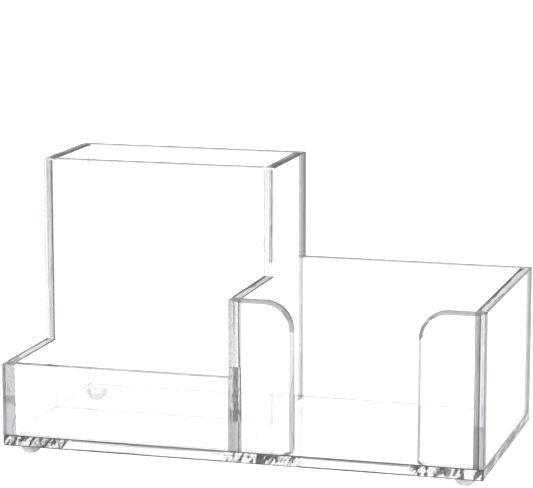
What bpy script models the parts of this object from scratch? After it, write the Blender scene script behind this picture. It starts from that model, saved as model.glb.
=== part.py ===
"""Clear acrylic desk organizer: a tall pen cup, a shallow tray in front of it and an open-fronted memo bay.

The walls are flat clear sheet, cut to profile, edge polished and solvent bonded. They stand on a base
plate, which rests on four domed bumper feet. Metres, +Z up. The origin is on the table, under the
middle of the base plate; +X runs to the memo bay and +Y to the back.
"""

import math

import bmesh
import bpy
from mathutils import Vector

# Sheet stock
SHEET = 0.004
BASE_THICKNESS = 0.004
EDGE_POLISH = 0.0003

# Clear space left between bonded pieces
JOINT_GAP = 0.0003

# Insides of the bays
CUP_BAY_WIDTH = 0.077
CUP_BAY_DEPTH = 0.035
MEMO_BAY_WIDTH = 0.079
MEMO_BAY_DEPTH = 0.077

# Wall heights above the base plate
CUP_HEIGHT = 0.090
MEMO_HEIGHT = 0.052
TRAY_HEIGHT = 0.025

# The two uprights across the memo bay's front
UPRIGHT_WIDTH = 0.0224
SHOULDER_RADIUS = 0.010
TOE_RADIUS = 0.0015

# Bumper feet
FOOT_DIAMETER = 0.008
FOOT_SOLE_DIAMETER = 0.003
FOOT_HEIGHT = 0.0036
FOOT_INSET = 0.0075
FOOT_WELD = 0.00001

# Facets
CORNER_STEPS = 12
POLISH_STEPS = 2
FOOT_SIDES = 32
DOME_STEPS = 8
SMOOTH_ANGLE = math.radians(35)
POLISH_ANGLE = math.radians(30)

# Overall sizes and shared planes, measured from the base plate's front left underside corner
OVERALL_WIDTH = SHEET + CUP_BAY_WIDTH + SHEET + MEMO_BAY_WIDTH + SHEET
OVERALL_DEPTH = SHEET + MEMO_BAY_DEPTH + SHEET
DIVIDER_LEFT = SHEET + CUP_BAY_WIDTH
DIVIDER_RIGHT = DIVIDER_LEFT + SHEET
BACK_FACE = SHEET + MEMO_BAY_DEPTH
CUP_FRONT = BACK_FACE - CUP_BAY_DEPTH - SHEET
WALL_FOOT = BASE_THICKNESS + JOINT_GAP

# Local axes of a flat piece: its profile lies in X and Y, and its thickness grows along Z
FACING_FRONT = (math.pi / 2, 0, 0)
FACING_RIGHT = (math.pi / 2, 0, math.pi / 2)
LYING_FLAT = (0, 0, 0)

# Materials: colour, roughness, transmission, refractive index
ACRYLIC = ((0.97, 0.985, 0.98, 1.0), 0.02, 1.0, 1.49)
FOOT_RUBBER = ((0.86, 0.87, 0.87, 1.0), 0.35, 0.7, 1.5)


def clear_scene():
    """Removes every object, so that the organizer stands alone."""
    for obj in list(bpy.data.objects):
        bpy.data.objects.remove(obj)


def principled(name, finish):
    """A Principled material of one piece."""
    colour, roughness, transmission, ior = finish
    material = bpy.data.materials.new(name)
    material.use_nodes = True
    material.diffuse_color = colour
    inputs = material.node_tree.nodes["Principled BSDF"].inputs
    inputs["Base Color"].default_value = colour
    inputs["Metallic"].default_value = 0.0
    inputs["Roughness"].default_value = roughness
    inputs["Transmission Weight"].default_value = transmission
    inputs["IOR"].default_value = ior
    return material


def add_piece(name, mesh, finish, location, rotation, parent):
    """Puts one piece of the organizer at its place."""
    mesh.materials.append(principled(name + "_material", finish))
    piece = bpy.data.objects.new(name, mesh)
    bpy.context.scene.collection.objects.link(piece)
    piece.parent = parent
    piece.location = location
    piece.rotation_euler = rotation
    return piece


def corner_round(before, corner, after, radius):
    """The arc that takes the place of one right-angled corner of an outline."""
    back = (before - corner).normalized()
    onward = (after - corner).normalized()
    centre = corner + radius * (back + onward)
    arc = []
    for step in range(CORNER_STEPS + 1):
        angle = math.pi / 2 * step / CORNER_STEPS
        arc.append(centre - radius * (onward * math.cos(angle) + back * math.sin(angle)))
    return arc


def outline_points(corners):
    """An outline's points. Each corner is (x, y) where it is sharp, or (x, y, radius) where it is round."""
    points = []
    for index, (x, y, *radius) in enumerate(corners):
        corner = Vector((x, y))
        if radius:
            before = Vector(corners[index - 1][:2])
            after = Vector(corners[(index + 1) % len(corners)][:2])
            points += corner_round(before, corner, after, radius[0])
        else:
            points.append(corner)
    return points


def cut_sheet(name, corners, thickness, location, rotation, parent):
    """A flat piece cut from sheet along an outline, with its edges polished to a small round."""
    shape = bmesh.new()
    ring = [shape.verts.new((point.x, point.y, 0)) for point in outline_points(corners)]
    face = shape.faces.new(ring)
    extruded = bmesh.ops.extrude_face_region(shape, geom=[face])
    top = [item for item in extruded["geom"] if isinstance(item, bmesh.types.BMVert)]
    bmesh.ops.translate(shape, vec=(0, 0, thickness), verts=top)
    bmesh.ops.recalc_face_normals(shape, faces=shape.faces)
    mesh = bpy.data.meshes.new(name)
    shape.to_mesh(mesh)
    shape.free()
    mesh.shade_smooth()
    mesh.set_sharp_from_angle(angle=SMOOTH_ANGLE)
    piece = add_piece(name, mesh, ACRYLIC, location, rotation, parent)
    polish = piece.modifiers.new("edge_polish", "BEVEL")
    polish.width = EDGE_POLISH
    polish.segments = POLISH_STEPS
    polish.limit_method = "ANGLE"
    polish.angle_limit = POLISH_ANGLE
    polish.harden_normals = True
    return piece


def rectangle(width, height):
    """The four corners of a plain piece."""
    return [(0, 0), (width, 0), (width, height), (0, height)]


def stepped(length, front_height, rear_height, step):
    """A wall that is low in front and rises to its rear height at the step."""
    return [(0, 0), (length, 0), (length, rear_height), (step, rear_height), (step, front_height), (0, front_height)]


def base_plate(parent):
    """The plate that every wall is bonded to."""
    corners = rectangle(OVERALL_WIDTH, OVERALL_DEPTH)
    cut_sheet("base_plate", corners, BASE_THICKNESS, (0, 0, 0), LYING_FLAT, parent)


def side_walls(parent):
    """The walls that run from front to back between the front pieces and the back panel."""
    start = SHEET + JOINT_GAP
    length = BACK_FACE - JOINT_GAP - start
    step = CUP_FRONT - start
    cup = CUP_HEIGHT - JOINT_GAP
    memo = MEMO_HEIGHT - JOINT_GAP
    tray = TRAY_HEIGHT - JOINT_GAP
    walls = (
        ("left_side_panel", stepped(length, tray, cup, step), 0),
        ("divider_panel", stepped(length, memo, cup, step), DIVIDER_LEFT),
        ("right_side_panel", rectangle(length, memo), OVERALL_WIDTH - SHEET),
    )
    for name, corners, left in walls:
        cut_sheet(name, corners, SHEET, (left, start, WALL_FOOT), FACING_RIGHT, parent)


def back_panel(parent):
    """One sheet behind both bays, tall behind the cup and low behind the memo bay."""
    cup = CUP_HEIGHT - JOINT_GAP
    memo = MEMO_HEIGHT - JOINT_GAP
    corners = [(0, 0), (OVERALL_WIDTH, 0), (OVERALL_WIDTH, memo), (DIVIDER_RIGHT, memo), (DIVIDER_RIGHT, cup), (0, cup)]
    cut_sheet("back_panel", corners, SHEET, (0, OVERALL_DEPTH, WALL_FOOT), FACING_FRONT, parent)


def cup_front_panel(parent):
    """The cup's front wall, between the left side panel and the divider, flush with their steps."""
    left = SHEET + JOINT_GAP
    corners = rectangle(CUP_BAY_WIDTH - JOINT_GAP - JOINT_GAP, CUP_HEIGHT - JOINT_GAP)
    place = (left, CUP_FRONT + SHEET, WALL_FOOT)
    cut_sheet("cup_front_panel", corners, SHEET, place, FACING_FRONT, parent)


def tray_front_panel(parent):
    """The low front of the tray, over the left side panel's end and up to the memo bay's front."""
    corners = rectangle(DIVIDER_LEFT - JOINT_GAP, TRAY_HEIGHT - JOINT_GAP)
    cut_sheet("tray_front_panel", corners, SHEET, (0, SHEET, WALL_FOOT), FACING_FRONT, parent)


def memo_front_uprights(parent):
    """The two uprights that hold memo sheets in, each with a round shoulder and toe beside the finger gap."""
    height = MEMO_HEIGHT - JOINT_GAP
    toe = min(TOE_RADIUS, UPRIGHT_WIDTH / 2)
    shoulder = min(SHOULDER_RADIUS, UPRIGHT_WIDTH - EDGE_POLISH, height - toe - EDGE_POLISH)
    left = [(0, 0), (UPRIGHT_WIDTH, 0, toe), (UPRIGHT_WIDTH, height, shoulder), (0, height)]
    right = [(0, 0, toe), (UPRIGHT_WIDTH, 0), (UPRIGHT_WIDTH, height), (0, height, shoulder)]
    right_start = OVERALL_WIDTH - UPRIGHT_WIDTH
    cut_sheet("memo_front_left_upright", left, SHEET, (DIVIDER_LEFT, SHEET, WALL_FOOT), FACING_FRONT, parent)
    cut_sheet("memo_front_right_upright", right, SHEET, (right_start, SHEET, WALL_FOOT), FACING_FRONT, parent)


def foot_profile():
    """Half the section of a foot, from the middle of its top, down its dome and in to the middle of its sole."""
    top_radius = FOOT_DIAMETER / 2
    sole_radius = FOOT_SOLE_DIAMETER / 2
    top = -JOINT_GAP
    tall = FOOT_HEIGHT - JOINT_GAP
    centre = top + (top_radius**2 - sole_radius**2 - tall**2) / (2 * tall)
    dome_radius = math.hypot(top_radius, centre - top)
    first = math.atan2(top - centre, top_radius)
    last = math.atan2(-FOOT_HEIGHT - centre, sole_radius)
    points = [(0, 0, top)]
    for step in range(DOME_STEPS + 1):
        angle = first + (last - first) * step / DOME_STEPS
        points.append((dome_radius * math.cos(angle), 0, centre + dome_radius * math.sin(angle)))
    points.append((0, 0, -FOOT_HEIGHT))
    return points


def feet(parent):
    """Four domed bumpers under the base plate's corners."""
    points = foot_profile()
    edges = [(index, index + 1) for index in range(len(points) - 1)]
    places = {
        "foot_front_left": (FOOT_INSET, FOOT_INSET, 0),
        "foot_front_right": (OVERALL_WIDTH - FOOT_INSET, FOOT_INSET, 0),
        "foot_rear_left": (FOOT_INSET, OVERALL_DEPTH - FOOT_INSET, 0),
        "foot_rear_right": (OVERALL_WIDTH - FOOT_INSET, OVERALL_DEPTH - FOOT_INSET, 0),
    }
    for name, place in places.items():
        mesh = bpy.data.meshes.new(name)
        mesh.from_pydata(points, edges, [])
        foot = add_piece(name, mesh, FOOT_RUBBER, place, LYING_FLAT, parent)
        turn = foot.modifiers.new("turned_dome", "SCREW")
        turn.steps = FOOT_SIDES
        turn.render_steps = FOOT_SIDES
        turn.use_merge_vertices = True
        turn.merge_threshold = FOOT_WELD
        turn.use_smooth_shade = True


def build_organizer():
    """Every piece, placed from the base plate's front left underside corner."""
    clear_scene()
    corner = bpy.data.objects.new("organizer", None)
    bpy.context.scene.collection.objects.link(corner)
    corner.location = (-OVERALL_WIDTH / 2, -OVERALL_DEPTH / 2, FOOT_HEIGHT)
    base_plate(corner)
    side_walls(corner)
    back_panel(corner)
    cup_front_panel(corner)
    tray_front_panel(corner)
    memo_front_uprights(corner)
    feet(corner)


build_organizer()
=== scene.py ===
"""Looks of the clear acrylic desk organizer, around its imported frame. Metres, +Z up."""

import math

import bmesh
import bpy
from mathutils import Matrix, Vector, noise


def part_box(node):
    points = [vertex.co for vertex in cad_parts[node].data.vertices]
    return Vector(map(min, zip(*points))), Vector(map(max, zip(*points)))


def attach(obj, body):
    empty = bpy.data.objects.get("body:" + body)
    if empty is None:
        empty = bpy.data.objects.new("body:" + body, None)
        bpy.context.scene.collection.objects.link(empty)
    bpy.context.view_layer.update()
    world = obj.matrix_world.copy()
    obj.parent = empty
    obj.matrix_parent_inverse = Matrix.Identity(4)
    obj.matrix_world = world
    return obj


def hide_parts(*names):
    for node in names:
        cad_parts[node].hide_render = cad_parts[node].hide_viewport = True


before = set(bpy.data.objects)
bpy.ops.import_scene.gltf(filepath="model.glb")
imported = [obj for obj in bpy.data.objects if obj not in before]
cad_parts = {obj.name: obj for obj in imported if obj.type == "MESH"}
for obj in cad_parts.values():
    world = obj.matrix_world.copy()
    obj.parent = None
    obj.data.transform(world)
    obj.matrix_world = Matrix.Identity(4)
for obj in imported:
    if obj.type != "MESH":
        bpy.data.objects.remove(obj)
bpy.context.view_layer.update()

# Camera, from the photograph's perspective
CAMERA_PLACE = (0.23681, -0.83052, 0.22608)
CAMERA_PITCH = 10.185
CAMERA_YAW = 16.029
SENSOR_MM = 36.0
FOCAL_PIXELS = 2532.4
PHOTO_WIDTH = 533

# Seams: bonded ends go into their neighbour, and the walls' feet end above the base
SEAM_OVERLAP = 0.00002
FOOT_GAP = 0.00002

# Small rounds of the cut edges, which are wider along the edges of a wide kind
ARRIS_RADIUS = 0.0004
ARRIS_STEPS = 4
WIDE_ARRIS = 3
WIDENING_RUN = 0.004

# Outlines and meshes of the sheets
CORNER_RADIUS = 0.0006
SHOULDER_RADIUS = 0.010
TOE_RADIUS = 0.0015
ARC_STEP = 0.0006
RUN_STEP = 0.0008
EDGE_RINGS = 7
SHARP_ANGLE = math.radians(40)
STRAIGHT_ANGLE = math.radians(1)
FACE_WEIGHT = 100

# Waves of the cut edges, as (scale along the edge, scale across it, height)
DRAW_LINES = (20, 900, 0.00003)
CEMENT_MARKS = (500, 700, 0.00003)

# Cement, with painted shade in its greys: its reach beside a wall, its fading, the heights where it
# changes, and its milkiness
CEMENT_SPREAD = 0.019
CEMENT_FADE = 0.004
PATCH_TOP = 0.036
PATCH_FOOT = 0.0172
LEFT_LIGHTER = 0.0178
MARKED_END_TOP = 0.033
MILKINESS = 0.5

# Clear acrylic
ACRYLIC_IOR = 1.49
ABSORPTION_COLOUR = (0.95, 0.96, 0.96, 1)
ABSORPTION_DENSITY = 5.0
GRAIN_RANGE = (0.4, 0.7)
RIPPLE_SCALE = (30, 30, 30)
RIPPLE_ROUGHNESS = (0.0, 0.01)
RIPPLE_BUMP = (0.15, 0.0002)
EDGE_BUMP = (0.3, 0.0003)
# Frost of sawn edges, its dark grey painted shade
FROST_AND_SHADE_COLOUR = (0.22, 0.22, 0.25, 1)
# Painted shade: a dark strip, SEAM_SHADE wide and softened over SEAM_SOFTNESS, on wall faces beside
# the back panel
SEAM_SHADE = 0.0034
SEAM_SOFTNESS = 0.0002
SEAM_PAINTED_SHADE_GREY = 0.08

# Bumper rubber
RUBBER_COLOUR = (0.93, 0.93, 0.93, 1)
RUBBER_IOR = 1.45
RUBBER_TRANSMISSION = 0.85
RUBBER_GRAIN_SCALE = (900, 900, 900)
RUBBER_GRAIN_RANGE = (0.3, 0.7)
RUBBER_ROUGHNESS = (0.18, 0.30)
RUBBER_BUMP = (0.15, 0.0001)

# Studio. The bands are the world's greys, as (height of the direction, grey)
FLOOR_HALF = 8.0
FLOOR_COLOUR = (0.8, 0.8, 0.8, 1)
FLOOR_LIFT = 0.88
GLOSS_LIFT = 0.2
STUDIO_BANDS = ((0.0, 1.0), (0.10, 1.0), (0.12, 0.34), (0.20, 0.34), (0.21, 1.0), (1.0, 1.0))
KEY_PLACE = (0.3, -0.2, 1.8)
KEY_SIZE = 1.2
KEY_POWER = 8
CLEAR_BOUNCES = 64
GLOSSY_BOUNCES = 32

BASE_LOW, BASE_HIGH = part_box("base_plate")
LEFT_LOW, LEFT_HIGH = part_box("left_side_panel")
RIGHT_LOW, RIGHT_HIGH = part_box("right_side_panel")
DIVIDER_LOW, DIVIDER_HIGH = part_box("divider_panel")
BACK_LOW, BACK_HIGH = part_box("back_panel")
CUP_LOW, CUP_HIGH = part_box("cup_front_panel")
TRAY_LOW, TRAY_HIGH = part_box("tray_front_panel")
UPRIGHT_LEFT_LOW, UPRIGHT_LEFT_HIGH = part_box("memo_front_left_upright")
UPRIGHT_RIGHT_LOW, UPRIGHT_RIGHT_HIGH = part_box("memo_front_right_upright")

WALL_FOOT = BASE_HIGH.z + FOOT_GAP
WALL_FRONT = TRAY_HIGH.y - SEAM_OVERLAP
WALL_REAR = BACK_LOW.y + SEAM_OVERLAP
CUP_TOP = BACK_HIGH.z
MEMO_TOP = RIGHT_HIGH.z
TRAY_TOP = TRAY_HIGH.z


def link(tree, source, target):
    tree.links.new(source, target)


def shader_tree(name):
    """A new material, with its tree and its Principled shader."""
    material = bpy.data.materials.new(name)
    material.use_nodes = True
    tree = material.node_tree
    return material, tree, tree.nodes["Principled BSDF"]


def add_absorption(tree):
    volume = tree.nodes.new("ShaderNodeVolumeAbsorption")
    volume.inputs["Color"].default_value = ABSORPTION_COLOUR
    volume.inputs["Density"].default_value = ABSORPTION_DENSITY
    link(tree, volume.outputs[0], tree.nodes["Material Output"].inputs["Volume"])


def object_place(tree):
    return tree.nodes.new("ShaderNodeTexCoord").outputs["Object"]


def edge_place(tree):
    """(metres along the edge, share of the thickness, 0), from the mesh's own map."""
    place = tree.nodes.new("ShaderNodeUVMap")
    place.uv_map = "edges"
    return place.outputs[0]


def separated(tree, place):
    """The outputs X, Y and Z of a place."""
    split = tree.nodes.new("ShaderNodeSeparateXYZ")
    link(tree, place, split.inputs[0])
    return split.outputs


def stretched(tree, place, stretch):
    mapping = tree.nodes.new("ShaderNodeMapping")
    mapping.inputs["Scale"].default_value = stretch
    link(tree, place, mapping.inputs[0])
    return mapping.outputs[0]


def grain(tree, place, stretch, detail, distortion):
    texture = tree.nodes.new("ShaderNodeTexNoise")
    texture.inputs["Scale"].default_value = 1
    texture.inputs["Detail"].default_value = detail
    texture.inputs["Distortion"].default_value = distortion
    link(tree, stretched(tree, place, stretch), texture.inputs["Vector"])
    return texture.outputs["Fac"]


def add_bump(tree, shader, height, strength, distance):
    bump = tree.nodes.new("ShaderNodeBump")
    bump.inputs["Strength"].default_value = strength
    bump.inputs["Distance"].default_value = distance
    link(tree, height, bump.inputs["Height"])
    link(tree, bump.outputs[0], shader.inputs["Normal"])


def ramp(tree, source, low, high, low_value, high_value):
    mapped = tree.nodes.new("ShaderNodeMapRange")
    mapped.inputs["From Min"].default_value = low
    mapped.inputs["From Max"].default_value = high
    mapped.inputs["To Min"].default_value = low_value
    mapped.inputs["To Max"].default_value = high_value
    link(tree, source, mapped.inputs["Value"])
    return mapped.outputs[0]


def math_node(tree, operation, first, second):
    """operation of two values, each a socket or a number."""
    node = tree.nodes.new("ShaderNodeMath")
    node.operation = operation
    for target, value in zip(node.inputs, (first, second)):
        if isinstance(value, (int, float)):
            target.default_value = value
        else:
            link(tree, value, target)
    return node.outputs[0]


def grey_curve(tree, source, stops, tint=(1, 1, 1)):
    """source turned into a shade of the tint by (place, grey) stops."""
    curve = tree.nodes.new("ShaderNodeValToRGB")
    elements = curve.color_ramp.elements
    elements.remove(elements[-1])
    for index, (place, grey) in enumerate(stops):
        element = elements[0] if index == 0 else elements.new(place)
        element.position = place
        element.color = (*(grey * share for share in tint), 1)
    link(tree, source, curve.inputs[0])
    return curve.outputs[0]


def blended(tree, kind, share, first, second):
    mix = tree.nodes.new("ShaderNodeMixRGB")
    mix.blend_type = kind
    if isinstance(share, (int, float)):
        mix.inputs["Fac"].default_value = share
    else:
        link(tree, share, mix.inputs["Fac"])
    link(tree, first, mix.inputs["Color1"])
    link(tree, second, mix.inputs["Color2"])
    return mix.outputs["Color"]


def clear_plastic(name):
    material, tree, shader = shader_tree(name)
    shader.inputs["Base Color"].default_value = (1, 1, 1, 1)
    shader.inputs["IOR"].default_value = ACRYLIC_IOR
    shader.inputs["Transmission Weight"].default_value = 1.0
    add_absorption(tree)
    return material, tree, shader


def add_ripple(tree, shader, place):
    """The sheet's own cast surface, as good as flat."""
    ripple = grain(tree, place, RIPPLE_SCALE, 1, 0)
    link(tree, ramp(tree, ripple, *GRAIN_RANGE, *RIPPLE_ROUGHNESS), shader.inputs["Roughness"])
    add_bump(tree, shader, ripple, *RIPPLE_BUMP)


def polished_face():
    material, tree, shader = clear_plastic("acrylic_face")
    add_ripple(tree, shader, object_place(tree))
    return material


def painted_seam_shade_face():
    """The face of a wall that ends at the back panel, with painted shade along its bonded end: a
    dark strip in its colour.
    """
    material, tree, shader = clear_plastic("acrylic_seamed_face")
    place = object_place(tree)
    start = WALL_REAR - SEAM_SHADE
    # Painted shade: the colour falls to a dark grey within SEAM_SHADE of the rear seam
    shade = ramp(tree, separated(tree, place)["Y"], start - SEAM_SOFTNESS, start, 1, SEAM_PAINTED_SHADE_GREY)
    link(tree, shade, shader.inputs["Base Color"])
    add_ripple(tree, shader, place)
    return material


def crinkle(tree, place, split, length, slant, tall):
    """Grey of cement that has set in facets, its dark facets painted shade.

    length and slant, the facets' lean, are metres, and tall is their share of the thickness.
    """
    warp = grain(tree, place, (1.6 / length, 3, 1), 2, 0.5)
    leaning = tree.nodes.new("ShaderNodeCombineXYZ")
    along = math_node(tree, "MULTIPLY", split["X"], 1 / length)
    lean = math_node(tree, "MULTIPLY", split["Y"], slant / length)
    link(tree, math_node(tree, "SUBTRACT", along, lean), leaning.inputs["X"])
    link(tree, math_node(tree, "MULTIPLY", split["Y"], 1 / tall), leaning.inputs["Y"])
    shifted = tree.nodes.new("ShaderNodeVectorMath")
    shifted.operation = "ADD"
    link(tree, leaning.outputs[0], shifted.inputs[0])
    link(tree, warp, shifted.inputs[1])
    cells = tree.nodes.new("ShaderNodeTexVoronoi")
    cells.inputs["Scale"].default_value = 1
    link(tree, shifted.outputs[0], cells.inputs["Vector"])
    facets = tree.nodes.new("ShaderNodeSeparateColor")
    link(tree, cells.outputs["Color"], facets.inputs[0])
    grey = grey_curve(tree, facets.outputs[0], FACET_GREYS)
    specks = grain(tree, place, (1.5 / length, 3 / tall, 1), 1, 0)
    return blended(tree, "MULTIPLY", 1.0, grey, grey_curve(tree, specks, SPECK_GREYS))


def add_frost_and_shade(tree, shader, share):
    """Holds back a share of what the shader shows, so that no sawn edge is a mirror from inside,
    and paints shade with its dark grey.
    """
    dull = tree.nodes.new("ShaderNodeBsdfDiffuse")
    dull.inputs["Color"].default_value = FROST_AND_SHADE_COLOUR
    mix = tree.nodes.new("ShaderNodeMixShader")
    mix.inputs["Fac"].default_value = share
    link(tree, shader.outputs[0], mix.inputs[1])
    link(tree, dull.outputs[0], mix.inputs[2])
    link(tree, mix.outputs[0], tree.nodes["Material Output"].inputs["Surface"])


def edge_finish_and_shade(
    name, profile, wander, streaks, stretch,
    tint=(1, 1, 1), rough=(0.0, 0.02), facet=None, haze=0, frost=0,
):
    """A cut edge whose colour holds painted shade: lines of the profile run along it and wander by
    that share, under streaks.

    haze is the share of the light that the saw's marks scatter, and frost what they hold back, in a
    painted dark grey.
    With facet, the last three values of crinkle, cement shows by the mesh's cement attribute.
    """
    material, tree, shader = clear_plastic("acrylic_" + name)
    shader.inputs["Transmission Weight"].default_value = 1 - haze
    place = edge_place(tree)
    split = separated(tree, place)
    drift = math_node(tree, "SUBTRACT", grain(tree, place, (25, 0.3, 1), 2, 0), 0.5)
    across = math_node(tree, "ADD", split["Y"], math_node(tree, "MULTIPLY", drift, wander))
    lines = grey_curve(tree, across, profile, tint)
    texture = grain(tree, place, stretch, 2, 0.6)
    shade = blended(tree, "MULTIPLY", 1.0, lines, grey_curve(tree, texture, streaks))
    if facet:
        share = tree.nodes.new("ShaderNodeAttribute")
        share.attribute_name = "cement"
        marks = crinkle(tree, place, split, *facet)
        shade = blended(tree, "MIX", share.outputs["Fac"], shade, marks)
        milky = math_node(tree, "MULTIPLY", marks, MILKINESS)
        milky = math_node(tree, "MULTIPLY", share.outputs["Fac"], milky)
        link(tree, math_node(tree, "SUBTRACT", 1, milky), shader.inputs["Transmission Weight"])
    # Painted shade: the edge's greys go into its colour
    link(tree, shade, shader.inputs["Base Color"])
    link(tree, ramp(tree, texture, *GRAIN_RANGE, *rough), shader.inputs["Roughness"])
    add_bump(tree, shader, texture, *EDGE_BUMP)
    if frost:
        add_frost_and_shade(tree, shader, frost)
    return material


def bumper_rubber():
    material, tree, shader = shader_tree("bumper_rubber")
    shader.inputs["Base Color"].default_value = RUBBER_COLOUR
    shader.inputs["IOR"].default_value = RUBBER_IOR
    shader.inputs["Transmission Weight"].default_value = RUBBER_TRANSMISSION
    texture = grain(tree, object_place(tree), RUBBER_GRAIN_SCALE, 3, 0)
    add_bump(tree, shader, texture, *RUBBER_BUMP)
    rough = ramp(tree, texture, *RUBBER_GRAIN_RANGE, *RUBBER_ROUGHNESS)
    link(tree, rough, shader.inputs["Roughness"])
    return material


# Greys of cement's facets and of the specks on them, as (noise, grey): real cement, its dark facets
# painted shade
FACET_GREYS = ((0, 0.01), (0.4, 0.03), (0.42, 0.35), (0.58, 0.5), (0.6, 0.9), (1, 1))
SPECK_GREYS = ((0, 0.1), (0.38, 0.15), (0.42, 1), (1, 1))

# Streaks, partly the edges' own marks and partly painted shade, as (noise, grey)
CLEAN = ((0, 0.9), (1, 1))
FEW = ((0, 0.1), (0.33, 0.15), (0.38, 0.8), (1, 1))
MANY = ((0, 0.03), (0.40, 0.1), (0.45, 0.45), (0.52, 0.6), (0.56, 1), (1, 1))
CURVES = ((0, 1), (0.44, 1), (0.455, 0.15), (0.47, 1), (0.56, 1), (0.575, 0.2), (0.59, 1), (1, 1))

# Painted shade: the lines across each kind of edge, as (share of the thickness, grey)
EVEN = ((0, 1), (1, 1))
CUP_TOP_LINES = (
    (0, 0.6), (0.14, 0.5), (0.3, 0.95), (0.5, 0.8), (0.56, 0.3), (0.62, 0), (0.9, 0), (1, 0),
)
STEP_TOP_LINES = (
    (0, 0.1), (0.08, 0.01), (0.28, 0), (0.34, 0.4), (0.4, 0.95), (0.84, 0.9), (0.88, 0.5),
    (0.92, 0.9), (1, 0.95),
)
LEFT_STEP_LINES = (
    (0, 0.25), (0.1, 0.3), (0.14, 0.6), (0.38, 0.6), (0.42, 0.25), (0.5, 0.4), (0.66, 0.38),
    (0.7, 0.22), (0.76, 0.25), (0.8, 0.01), (0.96, 0.01), (1, 0.2),
)
RAIL_LINES = ((0, 0.5), (0.1, 0.45), (0.9, 0.5), (1, 0.45))
PLAIN_LINES = ((0, 0.55), (0.1, 0.5), (0.9, 0.55), (1, 0.5))
SHOULDER_LINES = ((0, 0.6), (0.3, 0.45), (0.45, 0.15), (0.6, 0.2), (0.7, 0.45), (1, 0.6))
BASE_LINES = (
    (0, 0.01), (0.14, 0.02), (0.18, 1), (0.5, 1), (0.53, 0.8), (0.56, 1), (0.74, 1), (0.79, 0.4),
    (0.83, 0.1), (0.95, 0.06), (1, 0.3),
)
LEFT_FRONT_LINES = (
    (0, 0.06), (0.12, 0.08), (0.16, 0.4), (0.2, 0.2), (0.88, 0.24), (0.92, 0.5), (1, 0.6),
)
LEFT_LOW_LINES = (
    (0, 0.14), (0.12, 0.18), (0.16, 0.8), (0.2, 0.46), (0.88, 0.52), (0.92, 0.8), (1, 0.9),
)
DIVIDER_FRONT_LINES = (
    (0, 0.3), (0.12, 0.45), (0.18, 0.15), (0.22, 0.5), (0.3, 0.4), (0.34, 0.12), (0.4, 0.45),
    (0.5, 0.22), (0.55, 0.5), (0.68, 0.45), (0.72, 0.03), (0.8, 0.03), (0.84, 0.4), (1, 0.3),
)
PATCH_LINES = (
    (0, 0.4), (0.22, 0.35), (0.28, 0.06), (0.7, 0.05), (0.74, 0.35), (0.84, 0.4), (0.88, 0.03),
    (0.94, 0.03), (1, 0.3),
)
RIGHT_FRONT_LINES = (
    (0, 0.05), (0.05, 0.05), (0.1, 0.16), (0.2, 0.1), (0.36, 0.07), (0.4, 0), (0.46, 0),
    (0.52, 0.4), (0.62, 0.35), (0.66, 0.2), (0.72, 0.5), (0.9, 0.45), (1, 0.2),
)
# Lilac tint of the painted shade on some edges
LILAC = (0.93, 0.93, 1.0)
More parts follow.
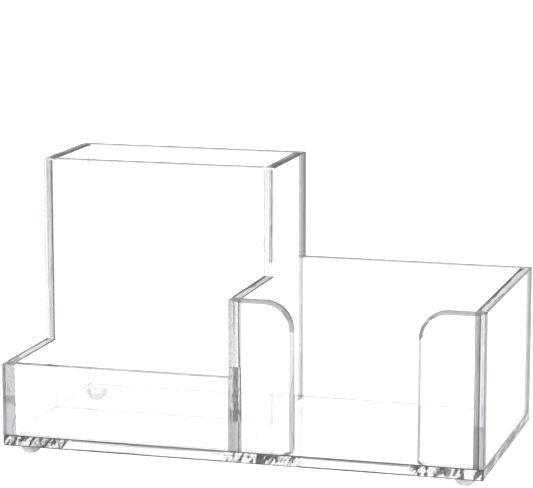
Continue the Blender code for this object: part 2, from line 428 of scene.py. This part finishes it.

# Each kind's material, most with painted shade in its colour, and the kinds of its small rounds at
# the low and the high side
FINISHES_AND_SHADES = {
    "face": (polished_face(), None, None),
    "painted_seam_shade_face": (painted_seam_shade_face(), None, None),
    "cup_top": (
        edge_finish_and_shade("cup_top_edge", CUP_TOP_LINES, 0.4, MANY, (80, 3, 1), haze=0.25),
        "pale_arris", "dark_arris",
    ),
    "step_top": (
        edge_finish_and_shade("step_top_edge", STEP_TOP_LINES, 0.9, FEW, (60, 3, 1), haze=0.8),
        "dark_arris", "pale_arris",
    ),
    "rail": (
        edge_finish_and_shade("rail_edge", RAIL_LINES, 0.2, CLEAN, (30, 3, 1)),
        "pale_arris", "pale_arris",
    ),
    "left_step": (
        edge_finish_and_shade("left_step_edge", LEFT_STEP_LINES, 0.1, CLEAN, (15, 5, 1)),
        "soft_arris", "pale_arris",
    ),
    "right_step": (
        edge_finish_and_shade("right_step_edge", PLAIN_LINES, 0.1, CLEAN, (15, 5, 1)),
        "soft_arris", "soft_arris",
    ),
    "shoulder": (
        edge_finish_and_shade("shoulder_edge", SHOULDER_LINES, 0.4, FEW, (80, 4, 1), LILAC, haze=0.3),
        "dull_arris", "dull_arris",
    ),
    "pale": (
        edge_finish_and_shade("pale_edge", PLAIN_LINES, 0.1, CLEAN, (40, 3, 1), haze=0.25),
        "far_arris", "far_arris",
    ),
    "far_shoulder": (
        edge_finish_and_shade("far_shoulder_edge", SHOULDER_LINES, 0.4, FEW, (80, 4, 1), LILAC, frost=0.6),
        "dull_arris", "dull_arris",
    ),
    "far": (
        edge_finish_and_shade("far_edge", PLAIN_LINES, 0.1, CLEAN, (40, 3, 1), frost=0.45),
        "far_arris", "soft_arris",
    ),
    "tray_end": (
        edge_finish_and_shade("tray_end_edge", PLAIN_LINES, 0.1, CLEAN, (40, 3, 1)),
        "soft_arris", "soft_arris",
    ),
    # Painted shade: the side edge is black all over, and the memo end near black beside its cement
    "side": (
        edge_finish_and_shade("side_edge", ((0, 0), (1, 0)), 0, CLEAN, (60, 3, 1)),
        "dark_arris", "dark_arris",
    ),
    "memo_end": (
        edge_finish_and_shade(
            "memo_end_edge", ((0, 0.05), (1, 0.03)), 0.1, FEW, (60, 3, 1), facet=(0.002, 0, 0.3),
        ),
        "dark_arris", "dark_arris",
    ),
    # Painted shade: the base's edges take the dark lines of their line table at top and bottom,
    # beside their cement
    "base": (
        edge_finish_and_shade("base_edge", BASE_LINES, 0.1, CLEAN, (25, 4, 1), facet=(0.001, 0.0018, 0.7)),
        "dark_arris", "dark_arris",
    ),
    "base_side": (
        edge_finish_and_shade(
            "base_side_edge", BASE_LINES, 0.1, CLEAN, (25, 4, 1), facet=(0.006, 0.004, 0.45),
        ),
        "dark_arris", "dark_arris",
    ),
    "clean_end": (
        edge_finish_and_shade("clean_end_edge", EVEN, 0, CLEAN, (25, 4, 1)), "soft_arris", "soft_arris",
    ),
    "foot_bond": (edge_finish_and_shade("foot_bond", EVEN, 0, CLEAN, (150, 2, 1)), None, None),
    "end_bond": (edge_finish_and_shade("end_bond", EVEN, 0, CLEAN, (60, 2, 1)), None, None),
    # Bonded front ends: cement, with painted shade in the bands and lines of their greys
    "left_front_bond": (
        edge_finish_and_shade("left_front_bond", LEFT_FRONT_LINES, 0.08, CURVES, (60, 1, 1), LILAC),
        None, None,
    ),
    "left_low_bond": (
        edge_finish_and_shade("left_low_bond", LEFT_LOW_LINES, 0.08, CURVES, (60, 1, 1), LILAC), None, None,
    ),
    "divider_front_bond": (
        edge_finish_and_shade("divider_front_bond", DIVIDER_FRONT_LINES, 0.15, FEW, (40, 3, 1)), None, None,
    ),
    "patch_bond": (edge_finish_and_shade("patch_bond", PATCH_LINES, 0.15, MANY, (500, 7, 1)), None, None),
    "right_front_bond": (
        edge_finish_and_shade("right_front_bond", RIGHT_FRONT_LINES, 0.06, CLEAN, (30, 3, 1), LILAC),
        None, None,
    ),
    # Small rounds, their greys painted shade: dark, pale and soft lines along the cut edges,
    # frosted on the far ones
    "dark_arris": (
        edge_finish_and_shade("dark_arris", ((0, 0.02), (1, 0.02)), 0, FEW, (200, 8, 1), rough=(0.02, 0.06)),
        "dark_arris", "dark_arris",
    ),
    "pale_arris": (
        edge_finish_and_shade("pale_arris", ((0, 0.4), (1, 0.4)), 0, CLEAN, (100, 8, 1), rough=(0.02, 0.06)),
        "pale_arris", "pale_arris",
    ),
    "far_arris": (
        edge_finish_and_shade("far_arris", EVEN, 0, CLEAN, (100, 8, 1), frost=0.5),
        "far_arris", "far_arris",
    ),
    "dull_arris": (
        edge_finish_and_shade("dull_arris", EVEN, 0, FEW, (150, 6, 1), LILAC, frost=0.68),
        "dull_arris", "dull_arris",
    ),
    "soft_arris": (
        edge_finish_and_shade("soft_arris", ((0, 0.8), (1, 0.8)), 0, CLEAN, (100, 8, 1), rough=(0.0, 0.03)),
        "soft_arris", "soft_arris",
    ),
}
RUBBER = bumper_rubber()

# Edges whose small rounds are wide, from the flame that polished them
WIDE_KINDS = ("shoulder", "pale", "far_shoulder", "far")


def bonded(kind):
    return FINISHES_AND_SHADES[kind][1] is None


def arc(centre, radius, start, end, kind):
    steps = max(ARRIS_STEPS, math.ceil(radius * math.radians(abs(end - start)) / ARC_STEP))
    points = []
    for step in range(steps + 1):
        angle = math.radians(start + (end - start) * step / steps)
        u = centre[0] + radius * math.cos(angle)
        v = centre[1] + radius * math.sin(angle)
        points.append((u, v, kind))
    return points


def eased(outline):
    """The outline, drawn anticlockwise, with its outer corners between two free edges rounded."""
    points = []
    for index, (u, v, kind) in enumerate(outline):
        here = Vector((u, v))
        before = here - Vector(outline[index - 1][:2])
        after = Vector(outline[(index + 1) % len(outline)][:2]) - here
        turn = before.angle_signed(after)
        if not bonded(kind) and not bonded(outline[index - 1][2]) and turn < -SHARP_ANGLE:
            centre = here + (after.normalized() - before.normalized()) * CORNER_RADIUS
            first = math.degrees(math.atan2(-before.x, before.y))
            last = first - math.degrees(turn)
            corner = arc(centre, CORNER_RADIUS, first, last, FINISHES_AND_SHADES[kind][2])
            corner[-1] = corner[-1][:2] + (kind,)
            points += corner
        else:
            points.append((u, v, kind))
    return points


def walked(outline):
    """The outline in short steps.

    Each is (place, way in, outward direction, kind, distance along, is a corner, width).
    The way in moves a place so that the free edges beside it go in by 1 and the bonded ones stay.
    The width of the small rounds grows from 1 to WIDE_ARRIS along the edges of a wide kind.
    """
    corners = [Vector(point[:2]) for point in outline]
    aheads = [after - here for here, after in zip(corners, corners[1:] + corners[:1])]
    outwards = [Vector((ahead.y, -ahead.x)).normalized() for ahead in aheads]
    depths = [0 if bonded(point[2]) else 1 for point in outline]
    points = []
    distance = 0
    for index, (u, v, kind) in enumerate(outline):
        ahead, outward = aheads[index], outwards[index]
        old, old_depth, depth = outwards[index - 1], depths[index - 1], depths[index]
        across = old.cross(outward)
        if abs(across) > math.sin(STRAIGHT_ANGLE):
            way_in = Vector((
                old.y * depth - outward.y * old_depth,
                outward.x * old_depth - old.x * depth,
            )) / across
        else:
            way_in = -outward * depth
        steps = max(1, math.ceil(ahead.length / RUN_STEP))
        for step in range(steps):
            place = corners[index] + ahead * step / steps
            inward = -outward * depth if step else way_in
            points.append((place, inward, outward, kind, distance, step == 0))
            distance += ahead.length / steps
    narrow = [point[4] for point in points if point[3] not in WIDE_KINDS]
    widened = []
    for point in points:
        apart = [abs(point[4] - other) for other in narrow]
        gap = min((min(run, distance - run) for run in apart), default=0)
        widened.append(point + (1 + (WIDE_ARRIS - 1) * min(1, gap / WIDENING_RUN),))
    return widened


def edge_rings(thickness):
    """(height across the thickness, inset) of each ring of an edge, from one face to the other."""
    arris = []
    for step in range(ARRIS_STEPS + 1):
        angle = math.radians(90) * step / ARRIS_STEPS
        arris.append((ARRIS_RADIUS * (1 - math.cos(angle)), ARRIS_RADIUS * (1 - math.sin(angle))))
    flat = thickness - 2 * ARRIS_RADIUS
    middle = [(ARRIS_RADIUS + flat * ring / EDGE_RINGS, 0) for ring in range(1, EDGE_RINGS)]
    return arris + middle + [(thickness - height, inset) for height, inset in reversed(arris)]


def spread(height, thickness, width):
    """The ring's height where the small rounds are wider."""
    wide = ARRIS_RADIUS * width
    if height <= ARRIS_RADIUS:
        return height * width
    if height >= thickness - ARRIS_RADIUS:
        return thickness - (thickness - height) * width
    stretch = (thickness - 2 * wide) / (thickness - 2 * ARRIS_RADIUS)
    return wide + (height - ARRIS_RADIUS) * stretch


def wave(waves, distance, across, seed):
    """How far the surface lies inside its plane, from 0 to the waves' height."""
    along_scale, across_scale, height = waves
    place = Vector((distance * along_scale, across * across_scale, seed))
    return (1 + noise.noise(place)) * height / 2


def sheet(node, outline, across, low, high, cement=None, face="face"):
    """A piece cut from sheet.

    outline is (u, v, kind) points, where kind is the finish of the edge that starts there.
    across is the axis of the thickness: with 0 for X, u and v are Y and Z; with 1 for Y, they
    outline is (u, v, kind) points, where kind names the material, with its painted shade, of the
    edge that starts there.
    cement gives, for a place on the outline, how far cement shows in its edge, from 0 to 1.
    """
    points = walked(eased(outline))
    count = len(points)
    seed = low + 7 * across
    thickness = high - low
    levels = edge_rings(thickness)
    kinds = [face]
    for point in points:
        for kind in (point[3], *FINISHES_AND_SHADES[point[3]][1:]):
            if kind and kind not in kinds:
                kinds.append(kind)

    shape = bmesh.new()
    uv = shape.loops.layers.uv.new("edges")
    marked = shape.verts.layers.float.new("cement")
    rings = []
    for height, inset in levels:
        verts = []
        for place, way_in, outward, kind, distance, corner, width in points:
            moved = place + way_in * inset * width
            w = low + spread(height, thickness, width)
            share = cement(place) if cement else 0
            between_rounds = ARRIS_RADIUS < height < thickness - ARRIS_RADIUS
            if between_rounds and not corner and not bonded(kind):
                waves = CEMENT_MARKS if share > 0.5 else DRAW_LINES
                moved -= outward * wave(waves, distance, height, seed)
            vert = shape.verts.new(((w, *moved), (moved.x, w, moved.y), (*moved, w))[across])
            vert[marked] = share
            verts.append(vert)
        rings.append(verts)
    for ring in range(len(levels) - 1):
        near, far = levels[ring][0] / thickness, levels[ring + 1][0] / thickness
        side = 1 if ring < ARRIS_STEPS else 2 if ring >= len(levels) - 1 - ARRIS_STEPS else 0
        for index in range(count):
            after = (index + 1) % count
            kind, start = points[index][3], points[index][4]
            end = start + (points[after][0] - points[index][0]).length
            here, there = rings[ring], rings[ring + 1]
            strip = shape.faces.new((here[index], here[after], there[after], there[index]))
            strip_kind = FINISHES_AND_SHADES[kind][side] if side and not bonded(kind) else kind
            strip.material_index = kinds.index(strip_kind)
            places = (start, near), (end, near), (end, far), (start, far)
            for loop, at in zip(strip.loops, places):
                loop[uv].uv = at
    for verts in (rings[0], rings[-1]):
        shape.faces.new(verts).material_index = kinds.index(face)
    bmesh.ops.recalc_face_normals(shape, faces=shape.faces)
    mesh = bpy.data.meshes.new(node + "_look")
    shape.to_mesh(mesh)
    shape.free()
    for kind in kinds:
        mesh.materials.append(FINISHES_AND_SHADES[kind][0])
    mesh.shade_smooth()
    mesh.set_sharp_from_angle(angle=SHARP_ANGLE)
    piece = bpy.data.objects.new(node + "_look", mesh)
    bpy.context.scene.collection.objects.link(piece)
    flat = piece.modifiers.new("flat_faces", "WEIGHTED_NORMAL")
    flat.keep_sharp = True
    flat.weight = FACE_WEIGHT
    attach(piece, "root")
    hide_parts(node)


# Where cement shows in the base plate's front and back edges, beside each wall
CEMENT_SPANS = (
    (LEFT_LOW.x, LEFT_HIGH.x + CEMENT_SPREAD),
    (DIVIDER_LOW.x, DIVIDER_HIGH.x + CEMENT_SPREAD),
    (RIGHT_LOW.x - CEMENT_SPREAD, RIGHT_HIGH.x),
)


def cement_share(place):
    """1 in the base's edge along a side wall or beside the end of a wall, and 0 elsewhere."""
    gap = min(max(0, start - place.x, place.x - end) for start, end in CEMENT_SPANS)
    return max(0, 1 - gap / CEMENT_FADE)


def end_share(place):
    """1 low down at the ends of the back panel, and 0 further up."""
    return min(1, max(0, 1 + (MARKED_END_TOP - place.y) / CEMENT_FADE))


def base_plate():
    outline = [
        (BASE_LOW.x, BASE_LOW.y, "base"), (BASE_HIGH.x, BASE_LOW.y, "base_side"),
        (BASE_HIGH.x, BASE_HIGH.y, "clean_end"), (BASE_LOW.x, BASE_HIGH.y, "base_side"),
    ]
    sheet("base_plate", outline, 2, BASE_LOW.z, BASE_HIGH.z, cement=cement_share)


# Materials of the front ends of the stepped walls, cement with painted shade, each from its height
# down
LEFT_FRONT = ((TRAY_TOP, "left_front_bond"), (LEFT_LIGHTER, "left_low_bond"))
DIVIDER_FRONT = (
    (MEMO_TOP, "divider_front_bond"), (PATCH_TOP, "patch_bond"), (PATCH_FOOT, "divider_front_bond"),
)


def stepped_side(node, low, high, step, front, face):
    """A side wall that steps down in front of the cup. front gives its front end's materials, with
    their painted shade.
    """
    outline = [
        (WALL_FRONT, WALL_FOOT, "foot_bond"), (WALL_REAR, WALL_FOOT, "end_bond"),
        (WALL_REAR, CUP_TOP, "cup_top"), (CUP_LOW.y, CUP_TOP, step),
        (CUP_LOW.y, front[0][0], "step_top"),
    ]
    outline += [(WALL_FRONT, height, kind) for height, kind in front]
    sheet(node, outline, 0, low.x, high.x, face=face)


def right_side():
    outline = [
        (WALL_FRONT, WALL_FOOT, "foot_bond"), (WALL_REAR, WALL_FOOT, "end_bond"),
        (WALL_REAR, MEMO_TOP, "step_top"), (WALL_FRONT, MEMO_TOP, "right_front_bond"),
    ]
    low, high = RIGHT_LOW.x, RIGHT_HIGH.x
    sheet("right_side_panel", outline, 0, low, high, face="painted_seam_shade_face")


def back_panel():
    outline = [
        (BACK_LOW.x, WALL_FOOT, "foot_bond"), (BACK_HIGH.x, WALL_FOOT, "memo_end"),
        (BACK_HIGH.x, MEMO_TOP, "rail"), (DIVIDER_HIGH.x, MEMO_TOP, "side"),
        (DIVIDER_HIGH.x, CUP_TOP, "cup_top"), (BACK_LOW.x, CUP_TOP, "clean_end"),
    ]
    sheet("back_panel", outline, 1, BACK_LOW.y, BACK_HIGH.y, cement=end_share)


def cup_front():
    left = LEFT_HIGH.x - SEAM_OVERLAP
    right = DIVIDER_LOW.x + SEAM_OVERLAP
    outline = [
        (left, WALL_FOOT, "foot_bond"), (right, WALL_FOOT, "foot_bond"),
        (right, CUP_TOP, "rail"), (left, CUP_TOP, "foot_bond"),
    ]
    sheet("cup_front_panel", outline, 1, CUP_LOW.y, CUP_HIGH.y)


def tray_front():
    right = UPRIGHT_LEFT_LOW.x + SEAM_OVERLAP
    outline = [
        (TRAY_LOW.x, WALL_FOOT, "foot_bond"), (right, WALL_FOOT, "foot_bond"),
        (right, TRAY_TOP, "tray_end"), (TRAY_LOW.x, TRAY_TOP, "tray_end"),
    ]
    sheet("tray_front_panel", outline, 1, TRAY_LOW.y, TRAY_HIGH.y)


def memo_uprights():
    toe_height = WALL_FOOT + TOE_RADIUS
    shoulder_height = MEMO_TOP - SHOULDER_RADIUS
    low, high = UPRIGHT_LEFT_LOW, UPRIGHT_LEFT_HIGH
    toe = arc((high.x - TOE_RADIUS, toe_height), TOE_RADIUS, -90, 0, "pale")
    centre = (high.x - SHOULDER_RADIUS, shoulder_height)
    shoulder = arc(centre, SHOULDER_RADIUS, 0, 90, "shoulder")
    outline = [(low.x, WALL_FOOT, "foot_bond")] + toe + shoulder + [(low.x, MEMO_TOP, "tray_end")]
    sheet("memo_front_left_upright", outline, 1, low.y, high.y)
    low, high = UPRIGHT_RIGHT_LOW, UPRIGHT_RIGHT_HIGH
    centre = (low.x + SHOULDER_RADIUS, shoulder_height)
    shoulder = arc(centre, SHOULDER_RADIUS, 90, 180, "far_shoulder")
    shoulder[-1] = shoulder[-1][:2] + ("far",)
    toe = arc((low.x + TOE_RADIUS, toe_height), TOE_RADIUS, 180, 270, "far")
    toe[-1] = toe[-1][:2] + ("foot_bond",)
    outline = [(high.x, WALL_FOOT, "tray_end"), (high.x, MEMO_TOP, "shoulder")]
    outline += shoulder + toe
    sheet("memo_front_right_upright", outline, 1, low.y, high.y)


def feet():
    for name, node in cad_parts.items():
        if name.startswith("foot"):
            for slot in node.material_slots:
                slot.material = RUBBER


def add_camera():
    data = bpy.data.cameras.new("camera")
    data.sensor_width = SENSOR_MM
    data.sensor_fit = "HORIZONTAL"
    data.lens = FOCAL_PIXELS * SENSOR_MM / PHOTO_WIDTH
    camera = bpy.data.objects.new("camera", data)
    camera.location = CAMERA_PLACE
    camera.rotation_euler = (math.radians(90 - CAMERA_PITCH), 0, math.radians(CAMERA_YAW))
    bpy.context.scene.collection.objects.link(camera)
    bpy.context.scene.camera = camera


def floor_lift(tree):
    """How far the floor is lifted to white for the camera and through glass, and less in gloss."""
    path = tree.nodes.new("ShaderNodeLightPath").outputs
    shown = math_node(tree, "MAXIMUM", path["Is Camera Ray"], path["Is Transmission Ray"])
    gloss = math_node(tree, "MULTIPLY", path["Is Glossy Ray"], GLOSS_LIFT)
    return math_node(tree, "MAXIMUM", math_node(tree, "MULTIPLY", shown, FLOOR_LIFT), gloss)


def add_floor():
    mesh = bpy.data.meshes.new("floor")
    r = FLOOR_HALF
    mesh.from_pydata([(-r, -r, 0), (r, -r, 0), (r, r, 0), (-r, r, 0)], [], [(0, 1, 2, 3)])
    floor = bpy.data.objects.new("floor", mesh)
    bpy.context.scene.collection.objects.link(floor)
    material, tree, shader = shader_tree("floor")
    shader.inputs["Base Color"].default_value = FLOOR_COLOUR
    shader.inputs["Roughness"].default_value = 1.0
    shader.inputs["Specular IOR Level"].default_value = 0.0
    shader.inputs["Emission Color"].default_value = (1, 1, 1, 1)
    link(tree, floor_lift(tree), shader.inputs["Emission Strength"])
    mesh.materials.append(material)


def add_world():
    """White for the camera, and the studio's bands in reflections and through the acrylic."""
    world = bpy.data.worlds.new("studio")
    bpy.context.scene.world = world
    world.use_nodes = True
    tree = world.node_tree
    tree.nodes.clear()
    out = tree.nodes.new("ShaderNodeOutputWorld")
    coords = tree.nodes.new("ShaderNodeTexCoord")
    height = separated(tree, coords.outputs["Generated"])["Z"]
    studio = tree.nodes.new("ShaderNodeBackground")
    link(tree, grey_curve(tree, height, STUDIO_BANDS), studio.inputs["Color"])
    white = tree.nodes.new("ShaderNodeBackground")
    path = tree.nodes.new("ShaderNodeLightPath")
    mix = tree.nodes.new("ShaderNodeMixShader")
    link(tree, path.outputs["Is Camera Ray"], mix.inputs[0])
    link(tree, studio.outputs[0], mix.inputs[1])
    link(tree, white.outputs[0], mix.inputs[2])
    link(tree, mix.outputs[0], out.inputs["Surface"])


def add_key_light():
    data = bpy.data.lights.new("key", "AREA")
    data.shape = "DISK"
    data.size = KEY_SIZE
    data.energy = KEY_POWER
    lamp = bpy.data.objects.new("key", data)
    lamp.location = KEY_PLACE
    lamp.rotation_euler = (-Vector(KEY_PLACE)).to_track_quat("-Z", "Y").to_euler()
    bpy.context.scene.collection.objects.link(lamp)


base_plate()
stepped_side("left_side_panel", LEFT_LOW, LEFT_HIGH, "left_step", LEFT_FRONT, "face")
stepped_side("divider_panel", DIVIDER_LOW, DIVIDER_HIGH, "right_step", DIVIDER_FRONT, "painted_seam_shade_face")
right_side()
back_panel()
cup_front()
tray_front()
memo_uprights()
feet()
add_camera()
add_floor()
add_world()
add_key_light()
scene = bpy.context.scene
scene.view_settings.view_transform = "Standard"
scene.cycles.max_bounces = CLEAR_BOUNCES
scene.cycles.transmission_bounces = CLEAR_BOUNCES
scene.cycles.glossy_bounces = GLOSSY_BOUNCES
